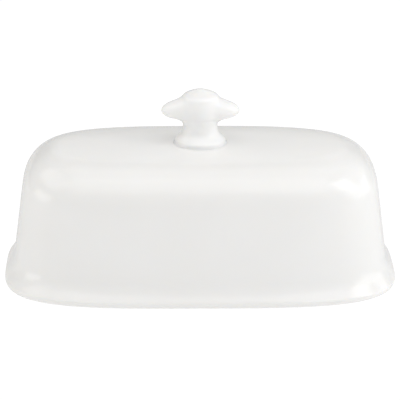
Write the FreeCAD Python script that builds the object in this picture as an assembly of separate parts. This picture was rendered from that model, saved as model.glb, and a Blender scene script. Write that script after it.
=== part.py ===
"""Lidded butter dish in glazed porcelain: a tray, the deep cover that drops over it, and the
cover's finial knob.

Millimetres, +Z up.  The origin is on the table, under the middle of the cover, and +X runs
along the long side.  Every shape is skinned over horizontal rings of points.  The rings of the
cover and the tray are superellipses, so that the walls bow gently between soft corners.  A
profile is a list of (inset, height) points, an inset being how far a ring stands in from the
lip's outline.
"""
import FreeCAD
import Part
import math
import os

# ---- driving dimensions -------------------------------------------------------------------
# Cover, outside
HALF_LENGTH = 92.5            # at the lip, along X
HALF_WIDTH = 52.5             # at the lip, along Y
LIP_BOTTOM = 0.8              # the drip edge hangs this far above the table
LIP_ROUND = 2.0               # radius of the lip's outer edge
FLARE_SLOPE = 34.0            # steepest slope of the flare, degrees from the vertical
FLARE_RUN = 3.0               # length of the flare's straight stretch
FLARE_HOLLOW = 16.0           # radius of the hollow where the flare meets the wall
WALL_LEAN = 7.35              # degrees from the vertical
WALL_TOP = 45.8               # height where the shoulder starts
SHOULDER_RADIUS = 20.5
SHOULDER_END = 10.0           # slope of the surface where the shoulder meets the crown, degrees
CROWN_RISE = 1.0
LIP_EXPONENT = 3.65           # squareness of the plan at the lip
CROWN_EXPONENT = 3.05         # and at the end of the shoulder
EXPONENT_BLEND = 0.6          # under 1, the plan softens early on the way up
COLLAR_FLAT_LENGTH = 16.0     # half axes of the flat on the crown that carries the knob
COLLAR_FLAT_WIDTH = 12.5

# Cover, inside
COVER_WALL = 4.0
SKIRT_THICKNESS = 2.4         # the skirt outside the seat hides the tray's edge
SEAT_HEIGHT = 4.0             # the cover rests on the tray at this height
SEAT_INNER_INSET = 6.6        # inner edge of the seat ring

# Knob, heights above the crown
COLLAR_RADIUS = 12.0
COLLAR_HEIGHT = 1.8           # the collar's widest line
NECK_RADIUS = 8.0
NECK_HEIGHT = 9.2
WING_SPAN = 18.5              # half span of the cap's two wings, along X
WING_HEIGHT = 15.0            # the wings' widest line
WING_POWER = 8                # a higher power makes narrower wings
CAP_RADIUS = 9.3              # the cap between its wings
DOME_RADIUS = 8.6             # the dome where it rises out of the wings
DOME_HEIGHT = 22.5
KNOB_HEIGHT = 26.0

# Tray
TRAY_INSET = 3.1              # leaves clearance inside the skirt
TRAY_UNDERSIDE = 1.4
TRAY_EDGE_CUT = 0.9           # bevel under the tray's edge
FOOT_INSET = 14.0
FOOT_WIDTH = 4.5
CURB_INSET = 8.0              # ring that centres the cover and holds the butter
CURB_TOP = 7.6
CURB_WIDTH = 3.6
CURB_DRAFT = 0.7              # the curb's sides lean in by this much
WELL_FLOOR = 4.6

# Surfaces
RING_POINTS = 96              # points round each ring
OVERSHOOT = 1.0               # how far a cutting tool reaches past what it cuts

# ---- shared geometry ----------------------------------------------------------------------


def turns():
    """Evenly spaced (cosine, sine) pairs round a full turn."""
    steps = [2.0 * math.pi * index / RING_POINTS for index in range(RING_POINTS)]
    return [(math.cos(step), math.sin(step)) for step in steps]


def oblong_ring(half_x, half_y, exponent, height):
    """Superellipse ring."""
    points = []
    for along, across in turns():
        reach = (abs(along) ** exponent + abs(across) ** exponent) ** (-1.0 / exponent)
        points.append(FreeCAD.Vector(half_x * reach * along, half_y * reach * across, height))
    return points


def winged_ring(core, span, height):
    """Round ring of a core radius, drawn out along X into two lobes of a half span."""
    points = []
    for along, across in turns():
        reach = core + (span - core) * along ** WING_POWER
        points.append(FreeCAD.Vector(reach * along, reach * across, height))
    return points


def ring_poles(ring):
    """Poles of a closed cubic curve that runs through a ring's points."""
    following = ring[1:] + ring[:1]
    return [ring[i] - (ring[i - 1] - ring[i] * 2.0 + following[i]) * (1.0 / 6.0)
            for i in range(RING_POINTS)]


def smooth_solid(rings):
    """Solid with a smooth side over rising rings, the first and last exactly, and flat ends."""
    spans = len(rings) - 3
    rise_knots = [index / spans for index in range(spans + 1)]
    turn_knots = [index / RING_POINTS for index in range(RING_POINTS + 1)]
    surface = Part.BSplineSurface()
    surface.buildFromPolesMultsKnots([ring_poles(ring) for ring in rings],
                                     [4] + [1] * (spans - 1) + [4], [1] * len(turn_knots),
                                     rise_knots, turn_knots, False, True, 3, 3)
    ends = [Part.Face(Part.Wire([surface.uIso(end).toShape()])) for end in (0.0, 1.0)]
    shell = Part.Shell([surface.toShape()] + ends)
    shell.sewShape()
    solid = Part.Solid(shell)
    if solid.Volume < 0:
        solid.reverse()
    return solid


def plain_solid(rings):
    """Solid with straight sides from one ring to the next."""
    turn_knots = [index / RING_POINTS for index in range(RING_POINTS + 1)]
    wires = []
    for ring in rings:
        curve = Part.BSplineCurve()
        curve.buildFromPolesMultsKnots(ring_poles(ring), [1] * len(turn_knots), turn_knots, True, 3)
        wires.append(Part.Wire([curve.toShape()]))
    return Part.makeLoft(wires, True, True)


def arc_points(centre, radius, first, last, steps):
    """(inset, height) points round an arc, angles in degrees of slope from the vertical."""
    points = []
    for step in range(steps + 1):
        turn = math.radians(first + (last - first) * step / steps)
        points.append((centre[0] - radius * math.cos(turn), centre[1] + radius * math.sin(turn)))
    return points


# ---- cover --------------------------------------------------------------------------------
LEAN = math.radians(WALL_LEAN)
SLOPE = math.radians(FLARE_SLOPE)
LIP_LINE = LIP_BOTTOM + LIP_ROUND
# end of the lip's rounding, end of the flare's straight stretch, and the flare's top
LIP_END = (LIP_ROUND * (1 - math.cos(SLOPE)), LIP_LINE + LIP_ROUND * math.sin(SLOPE))
RUN_END = (LIP_END[0] + FLARE_RUN * math.sin(SLOPE), LIP_END[1] + FLARE_RUN * math.cos(SLOPE))
FLARE_INSET = RUN_END[0] + FLARE_HOLLOW * (math.cos(LEAN) - math.cos(SLOPE))
FLARE_TOP = RUN_END[1] + FLARE_HOLLOW * (math.sin(SLOPE) - math.sin(LEAN))
# the shoulder's centre, and where it runs into the crown
WALL_TOP_INSET = FLARE_INSET + (WALL_TOP - FLARE_TOP) * math.tan(LEAN)
SHOULDER_CENTRE = (WALL_TOP_INSET + SHOULDER_RADIUS * math.cos(LEAN),
                   WALL_TOP - SHOULDER_RADIUS * math.sin(LEAN))
SHOULDER_LAST = 90.0 - SHOULDER_END
CROWN_TOP = SHOULDER_CENTRE[1] + SHOULDER_RADIUS * math.sin(math.radians(SHOULDER_LAST)) + CROWN_RISE


def plan_exponent(height):
    """Squareness of the cover's plan at a height."""
    share = (height - LIP_BOTTOM) / (CROWN_TOP - LIP_BOTTOM)
    share = min(max(share, 0.0), 1.0)
    return LIP_EXPONENT + (CROWN_EXPONENT - LIP_EXPONENT) * share ** EXPONENT_BLEND


def cover_ring(point):
    """Ring of the cover's plan at an (inset, height) point."""
    inset, height = point
    return oblong_ring(HALF_LENGTH - inset, HALF_WIDTH - inset, plan_exponent(height), height)


def straight_points(start, end, steps):
    """(inset, height) points along a straight stretch, its two ends left out."""
    return [(start[0] + (end[0] - start[0]) * step / steps,
             start[1] + (end[1] - start[1]) * step / steps) for step in range(1, steps)]


def flare_profile():
    """Profile from under the lip's rounded edge up to the top of the flare."""
    lip = arc_points((LIP_ROUND, LIP_LINE), LIP_ROUND, -90.0, 0.0, 5)
    lip += arc_points((LIP_ROUND, LIP_LINE), LIP_ROUND, 0.0, FLARE_SLOPE, 3)[1:]
    hollow = []
    centre = (RUN_END[0] - FLARE_HOLLOW * math.cos(SLOPE), RUN_END[1] + FLARE_HOLLOW * math.sin(SLOPE))
    for step in range(7):
        turn = SLOPE + (LEAN - SLOPE) * step / 6
        hollow.append((centre[0] + FLARE_HOLLOW * math.cos(turn),
                       centre[1] - FLARE_HOLLOW * math.sin(turn)))
    return lip + straight_points(LIP_END, RUN_END, 2) + hollow


def crown_rings(start):
    """Rings from the end of the shoulder, over the domed crown, to the knob's flat."""
    half_x = HALF_LENGTH - start[0]
    half_y = HALF_WIDTH - start[0]
    run = 2.0 * CROWN_RISE / math.tan(math.radians(SHOULDER_END))
    steps = 8
    rings = []
    for step in range(1, steps + 1):
        share = step / steps
        drawn_x = run * share + (half_x - COLLAR_FLAT_LENGTH - run) * share ** 2
        drawn_y = run * share + (half_y - COLLAR_FLAT_WIDTH - run) * share ** 2
        exponent = CROWN_EXPONENT + (2.0 - CROWN_EXPONENT) * share
        rise = CROWN_RISE * (1.0 - (1.0 - share) ** 2)
        rings.append(oblong_ring(half_x - drawn_x, half_y - drawn_y, exponent, start[1] + rise))
    return rings


def cover_outside():
    """Solid inside the cover's outer surface, from the lip to the knob's flat."""
    wall = straight_points((FLARE_INSET, FLARE_TOP), (WALL_TOP_INSET, WALL_TOP), 8)
    shoulder = arc_points(SHOULDER_CENTRE, SHOULDER_RADIUS, WALL_LEAN, SHOULDER_LAST, 9)
    profile = flare_profile() + wall + shoulder
    return smooth_solid([cover_ring(point) for point in profile] + crown_rings(shoulder[-1]))


def cover_hollow():
    """Solid that hollows the cover, from below the seat up to the ceiling."""
    seat_edge = (SEAT_INNER_INSET, SEAT_HEIGHT)
    mouth = (SEAT_INNER_INSET, LIP_BOTTOM - OVERSHOOT)
    inner_top = (WALL_TOP_INSET + COVER_WALL * math.cos(LEAN), WALL_TOP - COVER_WALL * math.sin(LEAN))
    turn_in = (inner_top[0] - (inner_top[1] - FLARE_TOP) * math.tan(LEAN), FLARE_TOP)
    shoulder = arc_points(SHOULDER_CENTRE, SHOULDER_RADIUS - COVER_WALL, WALL_LEAN, SHOULDER_LAST, 9)
    profile = [mouth] + straight_points(mouth, seat_edge, 2) + [seat_edge]
    profile += straight_points(seat_edge, turn_in, 5) + [turn_in]
    profile += straight_points(turn_in, inner_top, 8) + shoulder
    return smooth_solid([cover_ring(point) for point in profile] + crown_rings(shoulder[-1]))


def ring_solid(inset, low, high, draft=0.0):
    """Straight or drafted solid with the plan of the lip, drawn in by an inset."""
    rings = [oblong_ring(HALF_LENGTH - edge, HALF_WIDTH - edge, LIP_EXPONENT, height)
             for edge, height in ((inset, low), (inset + draft, high))]
    return plain_solid(rings)


def make_cover_shell():
    """The cover: one shell, open underneath, with a seat ring inside its lip."""
    rebate = ring_solid(SKIRT_THICKNESS, LIP_BOTTOM - OVERSHOOT, SEAT_HEIGHT)
    return cover_outside().cut(cover_hollow()).cut(rebate)


# ---- knob ---------------------------------------------------------------------------------
def make_knob():
    """The finial knob: collar with a fillet foot, neck, a cap drawn out into wings, a dome."""
    round_foot = [(COLLAR_RADIUS + 0.4, 0.0), (COLLAR_RADIUS - 0.1, 0.6),
                  (COLLAR_RADIUS, COLLAR_HEIGHT), (COLLAR_RADIUS - 0.8, COLLAR_HEIGHT + 1.0),
                  (NECK_RADIUS + 0.8, COLLAR_HEIGHT + 3.0), (NECK_RADIUS + 0.1, NECK_HEIGHT - 2.0),
                  (NECK_RADIUS, NECK_HEIGHT)]
    cap = [(CAP_RADIUS - 1.0, WING_SPAN - 9.6, WING_HEIGHT - 4.0),
           (CAP_RADIUS - 0.8, WING_SPAN - 5.3, WING_HEIGHT - 2.4),
           (CAP_RADIUS - 0.5, WING_SPAN - 2.0, WING_HEIGHT - 2.1),
           (CAP_RADIUS, WING_SPAN, WING_HEIGHT),
           (CAP_RADIUS, WING_SPAN - 0.3, WING_HEIGHT + 2.0),
           (CAP_RADIUS - 0.3, WING_SPAN - 2.3, WING_HEIGHT + 4.0),
           (CAP_RADIUS - 0.6, WING_SPAN - 8.5, WING_HEIGHT + 6.1)]
    round_dome = [(DOME_RADIUS, DOME_HEIGHT), (DOME_RADIUS - 0.9, DOME_HEIGHT + 1.1),
                  (DOME_RADIUS - 3.0, KNOB_HEIGHT - 1.5), (DOME_RADIUS - 5.0, KNOB_HEIGHT - 0.7),
                  (1.0, KNOB_HEIGHT)]
    rings = [winged_ring(radius, radius, CROWN_TOP + height) for radius, height in round_foot]
    rings += [winged_ring(core, span, CROWN_TOP + height) for core, span, height in cap]
    rings += [winged_ring(radius, radius, CROWN_TOP + height) for radius, height in round_dome]
    return smooth_solid(rings)


# ---- tray ---------------------------------------------------------------------------------
def make_tray():
    """The tray: flat rim, raised curb round the well, foot ring underneath."""
    plate = ring_solid(TRAY_INSET, TRAY_UNDERSIDE + TRAY_EDGE_CUT, SEAT_HEIGHT)
    bevel = ring_solid(TRAY_INSET, TRAY_UNDERSIDE + TRAY_EDGE_CUT, TRAY_UNDERSIDE, TRAY_EDGE_CUT)
    foot = ring_solid(FOOT_INSET, 0.0, WELL_FLOOR - OVERSHOOT)
    foot_hollow = ring_solid(FOOT_INSET + FOOT_WIDTH, -OVERSHOOT, TRAY_UNDERSIDE)
    curb = ring_solid(CURB_INSET, SEAT_HEIGHT - OVERSHOOT, CURB_TOP, CURB_DRAFT)
    well = ring_solid(CURB_INSET + CURB_WIDTH, CURB_TOP + OVERSHOOT, WELL_FLOOR, CURB_DRAFT)
    return plate.fuse([bevel, foot, curb]).cut([foot_hollow, well])


# ---- output -------------------------------------------------------------------------------
PARTS = {
    "cover_shell": make_cover_shell,
    "knob": make_knob,
    "base_dish": make_tray,
}

os.makedirs("parts", exist_ok=True)
for node, make in PARTS.items():
    shape = make()
    shape.exportStep("parts/" + node + ".step")
    box = shape.optimalBoundingBox()
    print(node, "valid", shape.isValid(), "solids", len(shape.Solids),
          "volume %.0f" % shape.Volume,
          "from %.2f %.2f %.2f" % (box.XMin, box.YMin, box.ZMin),
          "to %.2f %.2f %.2f" % (box.XMax, box.YMax, box.ZMax))
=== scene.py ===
"""Butter dish in white glazed porcelain: a tray, an oblong flared cover and a winged knob.

Metres, +Z up, with the origin on the table under the middle of the cover.  Every piece is drawn
up from one circle, whose edge is extruded from ring to ring.  The rings of the cover and the
tray are superellipses, so that the walls bow gently between soft corners.
"""

import logging
import math
from dataclasses import dataclass
from enum import Enum
from typing import Iterable, Protocol

import bmesh
import bpy
from mathutils import Euler, Matrix, Vector


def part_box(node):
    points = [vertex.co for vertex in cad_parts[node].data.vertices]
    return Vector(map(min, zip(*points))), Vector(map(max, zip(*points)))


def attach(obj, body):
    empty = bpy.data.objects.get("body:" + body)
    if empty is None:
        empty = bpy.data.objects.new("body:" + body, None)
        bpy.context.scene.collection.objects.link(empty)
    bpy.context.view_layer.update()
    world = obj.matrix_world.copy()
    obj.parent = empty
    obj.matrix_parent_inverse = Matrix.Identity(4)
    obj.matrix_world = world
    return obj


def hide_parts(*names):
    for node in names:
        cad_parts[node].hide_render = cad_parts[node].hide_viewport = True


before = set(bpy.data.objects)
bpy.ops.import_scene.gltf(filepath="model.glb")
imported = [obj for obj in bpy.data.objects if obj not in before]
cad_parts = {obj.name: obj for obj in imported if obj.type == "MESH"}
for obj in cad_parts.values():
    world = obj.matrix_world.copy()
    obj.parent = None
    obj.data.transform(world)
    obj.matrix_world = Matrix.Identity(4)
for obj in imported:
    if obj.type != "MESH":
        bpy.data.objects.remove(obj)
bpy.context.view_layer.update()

LOG = logging.getLogger("butter_dish")
MM = 0.001
RING_SEGMENTS = 144
SEAT_HEIGHT = 4.0 * MM
AIM_HEIGHT = 35.34 * MM
NOISE_LOW = 0.3
NOISE_HIGH = 0.7
CROWN_SHARES = (0.7, 0.4, 0.12)
WELL_SHARES = (0.92, 0.65, 0.35, 0.05)

Profile = list[tuple[float, float]]


class Surface(Enum):
    """Material slots on every piece: glazed all over, but for the ground or wiped rims."""

    GLAZED = 0
    BARE = 1


# ---- rings and skins ------------------------------------------------------------------------


class Outline(Protocol):
    """A closed horizontal outline that a skin passes through."""

    def point(self, along: float, across: float) -> Vector:
        """Point of the outline in the direction with this cosine and sine."""


@dataclass(frozen=True)
class OblongRing:
    """Superellipse outline of the cover and the tray."""

    half_length: float
    half_width: float
    squareness: float
    height: float

    def point(self, along: float, across: float) -> Vector:
        """Point of the outline in the direction with this cosine and sine.

        Args:
            along: Cosine of the turn from +X, in the outline's own proportions.
            across: Sine of the same turn.

        Returns:
            The point, in the row frame.
        """
        power = self.squareness
        reach = (abs(along) ** power + abs(across) ** power) ** (-1.0 / power)
        return Vector((self.half_length * reach * along, self.half_width * reach * across, self.height))

    def scaled(self, share: float) -> "OblongRing":
        """The same ring shrunk about its middle, and rounder as it shrinks."""
        rounder = 2.0 + (self.squareness - 2.0) * share
        return OblongRing(self.half_length * share, self.half_width * share, rounder, self.height)


@dataclass(frozen=True)
class WingedRing:
    """Round outline drawn out along X into two lobes, as the knob's cap has."""

    core: float
    span: float
    height: float
    power: int = 8

    def point(self, along: float, across: float) -> Vector:
        """Point of the outline in the direction with this cosine and sine.

        Args:
            along: Cosine of the turn from +X.
            across: Sine of the same turn.

        Returns:
            The point, in the row frame.
        """
        reach = self.core + (self.span - self.core) * along ** self.power
        return Vector((reach * along, reach * across, self.height))


class RingSkin:
    """Closed mesh whose skin runs from ring to ring between two small end faces."""

    def __init__(self, first: Outline) -> None:
        """Starts the skin on its first ring, which is closed with a face.

        Args:
            first: The ring that the skin starts from.
        """
        self.mesh = bmesh.new()
        self.turn = self.mesh.verts.layers.float_vector.new("turn")
        made = bmesh.ops.create_circle(self.mesh, cap_ends=True, segments=RING_SEGMENTS, radius=1.0)
        for vert in made["verts"]:
            vert[self.turn] = vert.co
        self.edge = list(self.mesh.edges)
        self._place(made["verts"], first)

    def _place(self, verts: Iterable[bmesh.types.BMVert], ring: Outline) -> None:
        """Moves one loop of vertices on to a ring."""
        for vert in verts:
            turn = vert[self.turn]
            vert.co = ring.point(turn.x, turn.y)

    def extend(self, rings: Iterable[Outline], surface: Surface = Surface.GLAZED) -> None:
        """Extrudes the open edge through more rings.

        Args:
            rings: The rings, in order.
            surface: What the new stretch of skin is finished with.
        """
        for ring in rings:
            made = bmesh.ops.extrude_edge_only(self.mesh, edges=self.edge)["geom"]
            self._place([item for item in made if isinstance(item, bmesh.types.BMVert)], ring)
            self.edge = [item for item in made if isinstance(item, bmesh.types.BMEdge) and item.is_boundary]
            for edge in self.edge:
                edge.link_faces[0].material_index = surface.value

    def close(self, name: str, levels: int = 1) -> bpy.types.Object:
        """Closes the last ring and makes the piece.

        Args:
            name: The piece's name.
            levels: Subdivision levels that smooth it.

        Returns:
            The finished object, at the origin.
        """
        bmesh.ops.edgeloop_fill(self.mesh, edges=self.edge)
        self.mesh.verts.layers.float_vector.remove(self.turn)
        bmesh.ops.recalc_face_normals(self.mesh, faces=self.mesh.faces)
        for face in self.mesh.faces:
            face.smooth = True
        data = bpy.data.meshes.new(name)
        self.mesh.to_mesh(data)
        self.mesh.free()
        piece = bpy.data.objects.new(name, data)
        bpy.context.scene.collection.objects.link(piece)
        smoothing = piece.modifiers.new("smoothing", "SUBSURF")
        smoothing.levels = levels
        smoothing.render_levels = levels
        smoothing.use_limit_surface = False
        return piece


def arc(centre: tuple[float, float], radius: float, first: float, last: float, steps: int) -> Profile:
    """Points round an arc of a profile.

    Args:
        centre: Inset and height of the arc's centre.
        radius: The arc's radius.
        first: Where it starts, in degrees: 0 faces outwards, 90 up, -90 down, 180 inwards.
        last: Where it ends.
        steps: Stretches that it is divided into.

    Returns:
        Inset and height of each point, both ends included.
    """
    turns = [math.radians(first + (last - first) * step / steps) for step in range(steps + 1)]
    return [(centre[0] - radius * math.cos(turn), centre[1] + radius * math.sin(turn)) for turn in turns]


def straight(start: tuple[float, float], end: tuple[float, float], steps: int) -> Profile:
    """Points along a straight stretch of a profile.

    Args:
        start: Inset and height where it starts.
        end: Inset and height where it ends.
        steps: Stretches that it is divided into.

    Returns:
        Inset and height of each point between the two ends.
    """
    shares = [step / steps for step in range(1, steps)]
    return [(start[0] + (end[0] - start[0]) * share, start[1] + (end[1] - start[1]) * share)
            for share in shares]


# ---- finishes -------------------------------------------------------------------------------


class NodeBench:
    """Small helper that lays out one material's nodes."""

    def __init__(self, name: str) -> None:
        """Makes an empty node material with a Principled shader.

        Args:
            name: The material's name.
        """
        self.material = bpy.data.materials.new(name)
        self.material.use_nodes = True
        self.nodes = self.material.node_tree.nodes
        self.links = self.material.node_tree.links
        self.shader = self.nodes["Principled BSDF"]
        self.place = self.nodes.new("ShaderNodeTexCoord").outputs["Object"]

    def noise(self, size: float, detail: float = 2.0) -> bpy.types.NodeSocket:
        """Noise on object coordinates.

        Args:
            size: Width of its patches, in metres.
            detail: Octaves of finer noise on it.

        Returns:
            The socket with its value, about 0.5 on average.
        """
        node = self.nodes.new("ShaderNodeTexNoise")
        node.inputs["Scale"].default_value = 1.0 / size
        node.inputs["Detail"].default_value = detail
        self.links.new(self.place, node.inputs["Vector"])
        return node.outputs["Fac"]

    def spread(self, value: bpy.types.NodeSocket, low: float, high: float) -> bpy.types.NodeSocket:
        """Maps a noise value on to a range.

        Args:
            value: The noise.
            low: Result where the noise is low.
            high: Result where the noise is high.

        Returns:
            The socket with the result.
        """
        node = self.nodes.new("ShaderNodeMapRange")
        node.inputs["From Min"].default_value = NOISE_LOW
        node.inputs["From Max"].default_value = NOISE_HIGH
        node.inputs["To Min"].default_value = low
        node.inputs["To Max"].default_value = high
        self.links.new(value, node.inputs["Value"])
        return node.outputs["Result"]

    def blend(self, value: bpy.types.NodeSocket, low: tuple, high: tuple) -> bpy.types.NodeSocket:
        """Mixes two colours by a noise value.

        Args:
            value: The noise.
            low: Linear colour where the noise is low.
            high: Linear colour where the noise is high.

        Returns:
            The socket with the colour.
        """
        node = self.nodes.new("ShaderNodeValToRGB")
        node.color_ramp.elements[0].position = NOISE_LOW
        node.color_ramp.elements[0].color = (*low, 1.0)
        node.color_ramp.elements[1].position = NOISE_HIGH
        node.color_ramp.elements[1].color = (*high, 1.0)
        self.links.new(value, node.inputs["Fac"])
        return node.outputs["Color"]

    def bump(self, value: bpy.types.NodeSocket, depth: float,
             under: bpy.types.NodeSocket | None = None) -> bpy.types.NodeSocket:
        """Surface relief from a noise value.

        Args:
            value: The noise.
            depth: Height of the relief, in metres.
            under: Normal of a coarser relief beneath it.

        Returns:
            The socket with the normal.
        """
        node = self.nodes.new("ShaderNodeBump")
        node.inputs["Distance"].default_value = depth
        self.links.new(value, node.inputs["Height"])
        if under is not None:
            self.links.new(under, node.inputs["Normal"])
        return node.outputs["Normal"]

    def feed(self, value: bpy.types.NodeSocket, name: str) -> None:
        """Links a socket to one of the shader's inputs."""
        self.links.new(value, self.shader.inputs[name])


@dataclass(frozen=True)
class PorcelainGlaze:
    """Clear gloss glaze over white porcelain: a soft body under a slightly uneven glass skin."""

    name: str = "glazed_porcelain"
    body: tuple[float, float, float] = (0.880, 0.874, 0.858)
    body_thin: tuple[float, float, float] = (0.896, 0.892, 0.881)
    glow: float = 0.2
    glow_depth: float = 1.5 * MM
    cloud_size: float = 38.0 * MM
    roughness_low: float = 0.13
    roughness_high: float = 0.19
    ripple_size: float = 30.0 * MM
    ripple_depth: float = 0.05 * MM
    orange_peel_size: float = 2.4 * MM
    orange_peel_depth: float = 0.0025 * MM
    bending: float = 1.52
    glow_reach: tuple[float, float, float] = (1.0, 0.9, 0.75)

    def material(self) -> bpy.types.Material:
        """Builds the glaze's material.

        Returns:
            The material, with clouded colour, uneven gloss and two scales of relief.
        """
        bench = NodeBench(self.name)
        shader = bench.shader
        bench.feed(bench.blend(bench.noise(self.cloud_size), self.body, self.body_thin), "Base Color")
        wear = bench.spread(bench.noise(self.cloud_size / 3), self.roughness_low, self.roughness_high)
        bench.feed(wear, "Roughness")
        ripple = bench.bump(bench.noise(self.ripple_size, 1.0), self.ripple_depth)
        skin = bench.bump(bench.noise(self.orange_peel_size, 1.0), self.orange_peel_depth, ripple)
        bench.feed(skin, "Normal")
        shader.inputs["IOR"].default_value = self.bending
        shader.inputs["Subsurface Weight"].default_value = self.glow
        shader.inputs["Subsurface Radius"].default_value = self.glow_reach
        shader.inputs["Subsurface Scale"].default_value = self.glow_depth
        return bench.material


@dataclass(frozen=True)
class BarePorcelain:
    """Unglazed porcelain where a ring was wiped or ground before firing."""

    body: tuple[float, float, float] = (0.80, 0.775, 0.72)
    body_dark: tuple[float, float, float] = (0.72, 0.685, 0.62)
    speck_size: float = 1.6 * MM
    grain_size: float = 0.35 * MM
    grain_depth: float = 0.03 * MM
    roughness_low: float = 0.55
    roughness_high: float = 0.75

    def material(self) -> bpy.types.Material:
        """Builds the bare rim's material.

        Returns:
            The material, matt and finely grained.
        """
        bench = NodeBench("bare_porcelain")
        bench.feed(bench.blend(bench.noise(self.speck_size, 4.0), self.body_dark, self.body), "Base Color")
        wear = bench.spread(bench.noise(self.speck_size), self.roughness_low, self.roughness_high)
        bench.feed(wear, "Roughness")
        bench.feed(bench.bump(bench.noise(self.grain_size, 3.0), self.grain_depth), "Normal")
        return bench.material


@dataclass
class Finishes:
    """The dish's finishes, made once and shared by its pieces."""

    bare: bpy.types.Material

    def dress(self, piece: bpy.types.Object, glaze: bpy.types.Material, body: str, *nodes: str) -> None:
        """Gives a piece its finishes and its place in the model.

        Args:
            piece: The finished piece.
            glaze: The glaze that covers it.
            body: The CAD body that it moves with.
            nodes: The CAD nodes that it stands for.
        """
        piece.data.materials.append(glaze)
        piece.data.materials.append(self.bare)
        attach(piece, body)
        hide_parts(*nodes)


# ---- pieces ---------------------------------------------------------------------------------


@dataclass
class Plan:
    """Oblong plan that the cover and the tray share, measured on the lip."""

    half_length: float
    half_width: float
    lip_height: float
    crown_height: float
    lip_squareness: float = 3.65
    crown_squareness: float = 3.05
    softening: float = 0.6

    def squareness(self, height: float) -> float:
        """How square the cover's plan is at a height."""
        share = (height - self.lip_height) / (self.crown_height - self.lip_height)
        share = min(max(share, 0.0), 1.0) ** self.softening
        return self.lip_squareness + (self.crown_squareness - self.lip_squareness) * share

    def cover_rings(self, profile: Profile) -> list[OblongRing]:
        """Rings of the cover along a profile of insets and heights."""
        return [OblongRing(self.half_length - inset, self.half_width - inset,
                           self.squareness(height), height) for inset, height in profile]

    def tray_rings(self, profile: Profile) -> list[OblongRing]:
        """Rings of the tray, which keeps the lip's squareness at every height."""
        return [OblongRing(self.half_length - inset, self.half_width - inset,
                           self.lip_squareness, height) for inset, height in profile]


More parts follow.
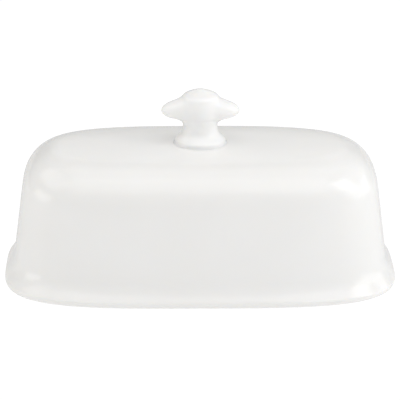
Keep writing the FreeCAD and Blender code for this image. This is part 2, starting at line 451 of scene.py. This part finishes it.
@dataclass
class Cover:
    """The oblong cover: flared lip, leaning wall, round shoulder and domed crown."""

    plan: Plan
    seat_height: float
    lip_round: float = 2.0 * MM
    flare_slope: float = 34.0
    flare_run: float = 3.0 * MM
    flare_hollow: float = 16.0 * MM
    wall_lean: float = 7.35
    wall_top: float = 45.8 * MM
    shoulder_radius: float = 20.5 * MM
    shoulder_end: float = 10.0
    crown_rise: float = 1.0 * MM
    collar_flat: tuple[float, float] = (16.0 * MM, 12.5 * MM)
    wall: float = 4.0 * MM
    skirt: float = 2.4 * MM
    seat_inset: float = 6.6 * MM
    edge_round: float = 0.6 * MM

    def __post_init__(self) -> None:
        """Works out where the profile's stretches meet."""
        lean = math.radians(self.wall_lean)
        slope = math.radians(self.flare_slope)
        lip_line = self.plan.lip_height + self.lip_round
        self.lip_end = (self.lip_round * (1 - math.cos(slope)), lip_line + self.lip_round * math.sin(slope))
        self.run_end = (self.lip_end[0] + self.flare_run * math.sin(slope),
                        self.lip_end[1] + self.flare_run * math.cos(slope))
        self.flare_top = (self.run_end[0] + self.flare_hollow * (math.cos(lean) - math.cos(slope)),
                          self.run_end[1] + self.flare_hollow * (math.sin(slope) - math.sin(lean)))
        top_inset = self.flare_top[0] + (self.wall_top - self.flare_top[1]) * math.tan(lean)
        self.wall_end = (top_inset, self.wall_top)
        self.inner_end = (top_inset + self.wall * math.cos(lean),
                          self.wall_top - self.wall * math.sin(lean))
        self.inner_turn = (self.inner_end[0] - (self.inner_end[1] - self.flare_top[1]) * math.tan(lean),
                           self.flare_top[1])
        self.shoulder_centre = (top_inset + self.shoulder_radius * math.cos(lean),
                                self.wall_top - self.shoulder_radius * math.sin(lean))

    def flare(self) -> Profile:
        """Profile from the lip's widest line up to the top of the flare."""
        lip_line = self.plan.lip_height + self.lip_round
        edge = arc((self.lip_round, lip_line), self.lip_round, 0.0, self.flare_slope, 3)
        slope = math.radians(self.flare_slope)
        centre = (self.run_end[0] - self.flare_hollow * math.cos(slope),
                  self.run_end[1] + self.flare_hollow * math.sin(slope))
        hollow = arc(centre, -self.flare_hollow, self.flare_slope, self.wall_lean, 6)
        return edge + straight(self.lip_end, self.run_end, 2) + hollow

    def shoulder(self, shrink: float) -> Profile:
        """Profile round the shoulder, on an arc that a wall thickness may shrink."""
        radius = self.shoulder_radius - shrink
        return arc(self.shoulder_centre, radius, self.wall_lean, 90.0 - self.shoulder_end, 10)

    def crown(self, start: tuple[float, float]) -> list[OblongRing]:
        """Rings over the domed crown, out of the shoulder and up to the knob's flat.

        Args:
            start: Inset and height where the shoulder ends.

        Returns:
            The rings, from the shoulder inwards, down to a small one at the middle.
        """
        half_x = self.plan.half_length - start[0]
        half_y = self.plan.half_width - start[0]
        run = 2.0 * self.crown_rise / math.tan(math.radians(self.shoulder_end))
        squareness = self.plan.crown_squareness
        steps = 8
        rings = []
        for step in range(1, steps + 1):
            share = step / steps
            drawn_x = run * share + (half_x - self.collar_flat[0] - run) * share ** 2
            drawn_y = run * share + (half_y - self.collar_flat[1] - run) * share ** 2
            rise = self.crown_rise * (1.0 - (1.0 - share) ** 2)
            rings.append(OblongRing(half_x - drawn_x, half_y - drawn_y,
                                    squareness + (2.0 - squareness) * share, start[1] + rise))
        return rings + [rings[-1].scaled(share) for share in CROWN_SHARES]

    def outside(self) -> list[OblongRing]:
        """Rings from the middle of the crown, down the outside, to the lip's widest line."""
        shoulder = self.shoulder(0.0)
        profile = self.flare() + straight(self.flare_top, self.wall_end, 8) + shoulder
        return list(reversed(self.plan.cover_rings(profile) + self.crown(shoulder[-1])))

    def lip(self) -> list[OblongRing]:
        """Rings under the lip, up inside the skirt and in to the seat."""
        bottom = self.plan.lip_height
        small = self.edge_round
        outer = arc((self.lip_round, bottom + self.lip_round), self.lip_round, -15.0, -90.0, 5)
        inner = arc((self.skirt - small, bottom + small), small, -90.0, -180.0, 3)
        corner = arc((self.skirt + small, self.seat_height - small), small, 0.0, 90.0, 3)
        side = straight(inner[-1], corner[0], 3)
        return self.plan.cover_rings(outer + inner + side + corner)

    def seat(self) -> list[OblongRing]:
        """Rings across the seat that rests on the tray, and round its inner edge."""
        small = self.edge_round
        start = (self.skirt + small, self.seat_height)
        end = (self.seat_inset - small, self.seat_height)
        edge = arc((self.seat_inset - small, self.seat_height + small), small, -90.0, -180.0, 3)
        return self.plan.cover_rings(straight(start, end, 3) + edge)

    def inside(self) -> list[OblongRing]:
        """Rings up the inner wall and over the ceiling."""
        start = (self.seat_inset, self.seat_height + self.edge_round)
        shoulder = self.shoulder(self.wall)
        profile = straight(start, self.inner_turn, 5) + [self.inner_turn]
        profile += straight(self.inner_turn, self.inner_end, 8) + shoulder
        return self.plan.cover_rings(profile) + self.crown(shoulder[-1])

    def build(self) -> bpy.types.Object:
        """Makes the cover as one closed skin, out and back in round the lip."""
        outside = self.outside()
        skin = RingSkin(outside[0])
        skin.extend(outside[1:] + self.lip())
        skin.extend(self.seat(), Surface.BARE)
        skin.extend(self.inside())
        return skin.close("porcelain_cover")


@dataclass
class Knob:
    """The finial knob: collar with a fillet of glaze at its foot, neck, winged cap and dome."""

    foot: float
    collar_radius: float = 12.0 * MM
    collar_height: float = 1.8 * MM
    neck_radius: float = 8.0 * MM
    neck_height: float = 9.2 * MM
    wing_span: float = 18.5 * MM
    wing_height: float = 15.0 * MM
    cap_radius: float = 9.3 * MM
    dome_radius: float = 8.6 * MM
    dome_height: float = 22.5 * MM
    height: float = 26.0 * MM
    fillet: float = 0.6 * MM
    sunk: float = 0.5 * MM

    def collar(self) -> list[tuple[float, float]]:
        """Radius and height of the rings from the fillet up to the neck."""
        collar, low, neck = self.collar_radius, self.collar_height, self.neck_radius
        return [(collar + self.fillet, -0.05 * MM), (collar + 0.05 * MM, 0.5 * MM), (collar, low),
                (collar - 0.8 * MM, low + 1.0 * MM), (neck + 0.8 * MM, low + 3.0 * MM),
                (neck + 0.1 * MM, self.neck_height - 2.0 * MM), (neck, self.neck_height)]

    def cap(self) -> list[tuple[float, float, float]]:
        """Core radius, half span and height of the rings of the winged cap."""
        core, span, low = self.cap_radius, self.wing_span, self.wing_height
        return [(core - 1.0 * MM, span - 9.6 * MM, low - 4.0 * MM),
                (core - 0.8 * MM, span - 5.3 * MM, low - 2.4 * MM),
                (core - 0.5 * MM, span - 2.0 * MM, low - 2.1 * MM),
                (core, span, low),
                (core, span - 0.3 * MM, low + 2.0 * MM),
                (core - 0.3 * MM, span - 2.3 * MM, low + 4.0 * MM),
                (core - 0.6 * MM, span - 8.5 * MM, low + 6.1 * MM)]

    def dome(self) -> list[tuple[float, float]]:
        """Radius and height of the rings of the dome, up to its top."""
        dome, top = self.dome_radius, self.height
        return [(dome, self.dome_height), (dome - 0.9 * MM, self.dome_height + 1.1 * MM),
                (dome - 3.0 * MM, top - 1.5 * MM), (dome - 5.0 * MM, top - 0.7 * MM), (1.0 * MM, top)]

    def build(self) -> bpy.types.Object:
        """Makes the knob as one closed skin, its foot sunk a little into the crown's glaze."""
        skin = RingSkin(WingedRing(2.0 * MM, 2.0 * MM, self.foot - self.sunk))
        radius = self.collar_radius + self.fillet + 1.3 * MM
        skin.extend([WingedRing(radius, radius, self.foot - self.sunk)])
        skin.extend(WingedRing(radius, radius, self.foot + height) for radius, height in self.collar())
        skin.extend(WingedRing(core, span, self.foot + height) for core, span, height in self.cap())
        skin.extend(WingedRing(radius, radius, self.foot + height) for radius, height in self.dome())
        return skin.close("porcelain_knob", levels=2)


@dataclass
class Tray:
    """The tray under the cover: flat rim, curb round the well, ground foot ring."""

    plan: Plan
    seat_height: float
    curb_top: float
    inset: float = 3.1 * MM
    underside: float = 1.4 * MM
    foot_inset: float = 14.0 * MM
    foot_width: float = 4.5 * MM
    curb_inset: float = 8.0 * MM
    curb_width: float = 3.6 * MM
    curb_draft: float = 0.7 * MM
    well_floor: float = 4.6 * MM
    small_round: float = 0.5 * MM
    edge_round: float = 1.1 * MM

    def underneath(self) -> Profile:
        """Profile from the recess, down to the foot ring."""
        small = self.small_round
        inner = self.foot_inset + self.foot_width
        root = arc((inner + small, self.underside - small), small, 90.0, 0.0, 3)
        tip = arc((inner - small, small), small, 180.0, 270.0, 3)
        return root + tip

    def foot(self) -> Profile:
        """Profile across the ring that is ground flat."""
        small = self.small_round
        inner = self.foot_inset + self.foot_width - small
        return straight((inner, 0.0), (self.foot_inset + small, 0.0), 3) + [(self.foot_inset + small, 0.0)]

    def rim(self) -> Profile:
        """Profile out of the foot, round the tray's edge and in over its flat rim."""
        small, edge = self.small_round, self.edge_round
        tip = arc((self.foot_inset + small, small), small, -90.0, 0.0, 3)
        root = arc((self.foot_inset - small, self.underside - small), small, 180.0, 90.0, 3)
        under = straight(root[-1], (self.inset + edge, self.underside), 3)
        low = arc((self.inset + edge, self.underside + edge), edge, -90.0, 0.0, 4)
        high = arc((self.inset + small, self.seat_height - small), small, 0.0, 90.0, 3)
        flat = straight(high[-1], (self.curb_inset - small, self.seat_height), 3)
        return tip[1:] + root + under + low + high + flat

    def curb(self) -> Profile:
        """Profile over the curb and down into the well."""
        small, draft = self.small_round, self.curb_draft
        outer_top = self.curb_inset + draft
        inner_top = self.curb_inset + self.curb_width - draft
        inner_foot = self.curb_inset + self.curb_width
        crest = (inner_top - outer_top) / 2
        root = arc((self.curb_inset - small, self.seat_height + small), small, -90.0, -180.0, 3)
        top = arc((outer_top + crest, self.curb_top - crest), crest, 10.0, 170.0, 8)
        side = straight(top[-1], (inner_foot, self.well_floor + small), 3)
        foot = arc((inner_foot + small, self.well_floor + small), small, 180.0, 270.0, 3)
        return root + top + side + foot

    def build(self) -> bpy.types.Object:
        """Makes the tray as one closed skin, from the middle below to the middle above."""
        below = self.plan.tray_rings(self.underneath())
        middle = [below[0].scaled(share) for share in reversed(WELL_SHARES)]
        skin = RingSkin(middle[0])
        skin.extend(middle[1:] + below)
        skin.extend(self.plan.tray_rings(self.foot()), Surface.BARE)
        above = self.plan.tray_rings(self.rim() + self.curb())
        skin.extend(above + [above[-1].scaled(share) for share in WELL_SHARES])
        return skin.close("porcelain_tray")


# ---- studio ---------------------------------------------------------------------------------


WARM = (1.0, 0.97, 0.91)


@dataclass(frozen=True)
class Softbox:
    """Large soft lamp aimed at the dish."""

    name: str
    azimuth: float
    elevation: float
    distance: float
    width: float
    height: float
    watts: float
    tint: tuple[float, float, float] = (1.0, 1.0, 1.0)

    def hang(self, target: Vector) -> None:
        """Places the lamp round a target.

        Args:
            target: The point that the lamp faces.
        """
        azimuth, elevation = math.radians(self.azimuth), math.radians(self.elevation)
        away = Vector((math.sin(azimuth) * math.cos(elevation), -math.cos(azimuth) * math.cos(elevation),
                       math.sin(elevation)))
        data = bpy.data.lights.new(self.name, "AREA")
        data.shape = "RECTANGLE"
        data.size = self.width
        data.size_y = self.height
        data.energy = self.watts
        data.color = self.tint
        lamp = bpy.data.objects.new(self.name, data)
        lamp.location = target + away * self.distance
        lamp.rotation_euler = away.to_track_quat("Z", "Y").to_euler()
        bpy.context.scene.collection.objects.link(lamp)


@dataclass
class Studio:
    """Pale floor, even surrounding light and a few softboxes."""

    target: Vector
    surround: float = 0.38
    floor_half: float = 3.0
    floor_glow: float = 1.0
    mirrored_glow: float = 0.62
    floor_grey: float = 0.05
    floor_roughness: float = 0.9
    softboxes: tuple[Softbox, ...] = (
        Softbox("overhead", 0.0, 88.0, 1.0, 1.2, 0.8, 1.91),
        Softbox("front_top", 0.0, 68.0, 1.0, 1.2, 0.35, 1.05),
        Softbox("front_high", 0.0, 50.0, 1.0, 1.4, 0.35, 1.42),
        Softbox("key", 38.0, 45.0, 1.0, 0.7, 0.6, 0.43),
        Softbox("right_low", 90.0, 14.0, 0.9, 0.8, 0.4, 1.39),
        Softbox("right_high", 90.0, 40.0, 0.9, 0.8, 0.4, 0.32),
        Softbox("right_corner_low", 70.0, 24.0, 1.0, 0.35, 0.32, 0.37),
        Softbox("right_corner_high", 70.0, 38.0, 1.0, 0.35, 0.32, 0.98),
        Softbox("left_low", -80.0, 8.0, 0.9, 0.5, 0.24, 0.62, WARM),
        Softbox("left_high", -90.0, 42.0, 0.9, 0.8, 0.4, 1.12, WARM),
        Softbox("back_right", 122.0, 24.0, 1.0, 0.35, 0.3, 0.13),
        Softbox("back_fill", 180.0, 32.0, 1.0, 0.7, 0.5, 0.40),
    )

    def lay_floor(self) -> None:
        """Lays the pale floor, which glows less in the glaze's reflections than to the eye."""
        mesh = bmesh.new()
        bmesh.ops.create_grid(mesh, x_segments=8, y_segments=8, size=self.floor_half)
        data = bpy.data.meshes.new("floor")
        mesh.to_mesh(data)
        mesh.free()
        floor = bpy.data.objects.new("floor", data)
        bpy.context.scene.collection.objects.link(floor)
        bench = NodeBench("pale_floor")
        bench.shader.inputs["Base Color"].default_value = (*[self.floor_grey] * 3, 1.0)
        bench.shader.inputs["Roughness"].default_value = self.floor_roughness
        bench.shader.inputs["Specular IOR Level"].default_value = 0.0
        bench.shader.inputs["Emission Color"].default_value = (1.0, 1.0, 1.0, 1.0)
        seen_by = bench.nodes.new("ShaderNodeLightPath")
        glow = bench.nodes.new("ShaderNodeMath")
        glow.operation = "MULTIPLY_ADD"
        glow.inputs[1].default_value = self.mirrored_glow - self.floor_glow
        glow.inputs[2].default_value = self.floor_glow
        bench.links.new(seen_by.outputs["Is Glossy Ray"], glow.inputs[0])
        bench.feed(glow.outputs["Value"], "Emission Strength")
        data.materials.append(bench.material)

    def light(self) -> None:
        """Hangs the lamps and sets the surrounding light."""
        world = bpy.data.worlds.new("studio_surround")
        world.use_nodes = True
        background = world.node_tree.nodes["Background"]
        background.inputs["Color"].default_value = (1.0, 1.0, 1.0, 1.0)
        background.inputs["Strength"].default_value = self.surround
        bpy.context.scene.world = world
        for softbox in self.softboxes:
            softbox.hang(self.target)


@dataclass(frozen=True)
class Viewpoint:
    """Camera that looks slightly down on the dish, its left end a little nearer."""

    aim: Vector
    distance: float = 1.10
    elevation: float = 20.0
    turn: float = 1.21
    roll: float = 0.24
    lens: float = 208.7
    sensor: float = 36.0

    def place(self) -> None:
        """Makes the camera and puts it to use."""
        data = bpy.data.cameras.new("camera")
        data.lens = self.lens
        data.sensor_width = self.sensor
        data.clip_start = 0.05
        camera = bpy.data.objects.new("camera", data)
        turned = Euler((math.radians(90.0 - self.elevation), 0.0, math.radians(-self.turn))).to_matrix()
        turned = turned @ Matrix.Rotation(math.radians(self.roll), 3, "Z")
        away = turned @ Vector((0.0, 0.0, self.distance))
        camera.location = self.aim + away
        camera.rotation_euler = turned.to_euler()
        bpy.context.scene.collection.objects.link(camera)
        bpy.context.scene.camera = camera


def main() -> None:
    """Builds the dish, its studio and the camera."""
    logging.basicConfig(level=logging.INFO, format="%(name)s: %(message)s")
    cover_low, cover_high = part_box("cover_shell")
    knob_low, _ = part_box("knob")
    _, tray_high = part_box("base_dish")
    plan = Plan(cover_high.x, cover_high.y, cover_low.z, cover_high.z)
    finishes = Finishes(BarePorcelain().material())
    glaze = PorcelainGlaze().material()
    # Lighter copy of the same glaze for the knob: its paler body colour is painted light, which brightens
    # the knob against the shade at its neck and foot. Its stronger subsurface glow is a material setting.
    knob_painted_light_glaze = PorcelainGlaze("glazed_porcelain_painted_lighter", (0.930, 0.926, 0.912), (0.945, 0.943, 0.934),
                                 glow=0.4, glow_depth=3.0 * MM).material()

    Viewpoint(aim=Vector((0.0, 0.0, AIM_HEIGHT))).place()
    tray = Tray(plan, SEAT_HEIGHT, tray_high.z).build()
    finishes.dress(tray, glaze, "base", "base_dish")
    LOG.info("tray: %d faces", len(tray.data.polygons))
    cover = Cover(plan, SEAT_HEIGHT).build()
    finishes.dress(cover, glaze, "cover", "cover_shell")
    LOG.info("cover: %d faces", len(cover.data.polygons))
    knob = Knob(knob_low.z).build()
    finishes.dress(knob, knob_painted_light_glaze, "cover", "knob")
    LOG.info("knob: %d faces", len(knob.data.polygons))

    studio = Studio(target=Vector((0.0, 0.0, cover_high.z / 2)))
    studio.lay_floor()
    studio.light()
    bpy.context.scene.view_settings.view_transform = "Standard"


if __name__ == "__main__":
    main()
